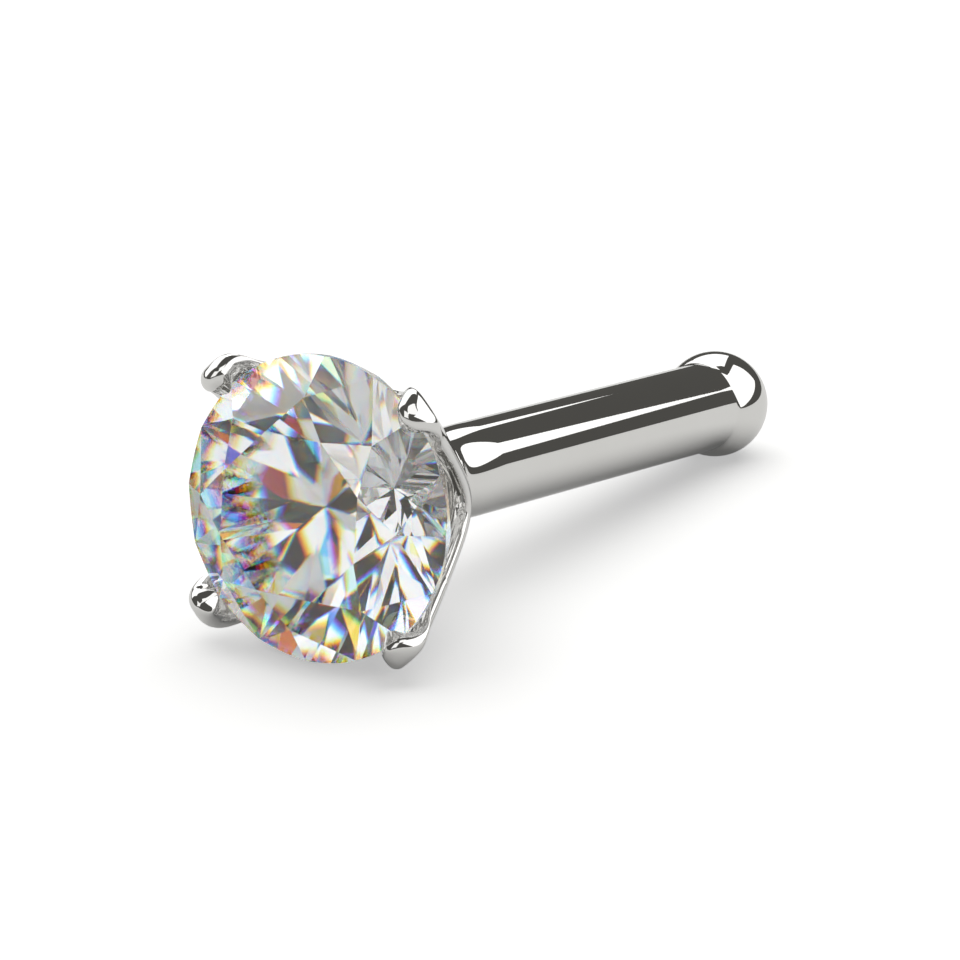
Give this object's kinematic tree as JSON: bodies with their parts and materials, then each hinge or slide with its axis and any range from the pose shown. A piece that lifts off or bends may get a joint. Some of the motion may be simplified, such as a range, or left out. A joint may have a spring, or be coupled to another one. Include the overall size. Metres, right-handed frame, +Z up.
{
  "type": "piercing stud",
  "caption": "Piercing stud: a round brilliant-cut clear stone in a scalloped claw cup, on a straight round post with a ball end.",
  "frame": {"origin": "centre of the stud's bounding box, on the surface it lies on", "axes": "+Z up from that surface, +Y along the post from the stone towards the ball, +X to the right seen from the stone's side"},
  "size_m": [0.0024, 0.0072, 0.0025],
  "materials": {
    "clear_stone": "cut and polished, colourless",
    "white_metal": "mirror polished"
  },
  "bodies": {
    "root": {"round_stone": "clear_stone", "stud_frame": "white_metal"}
  },
  "joints": []
}
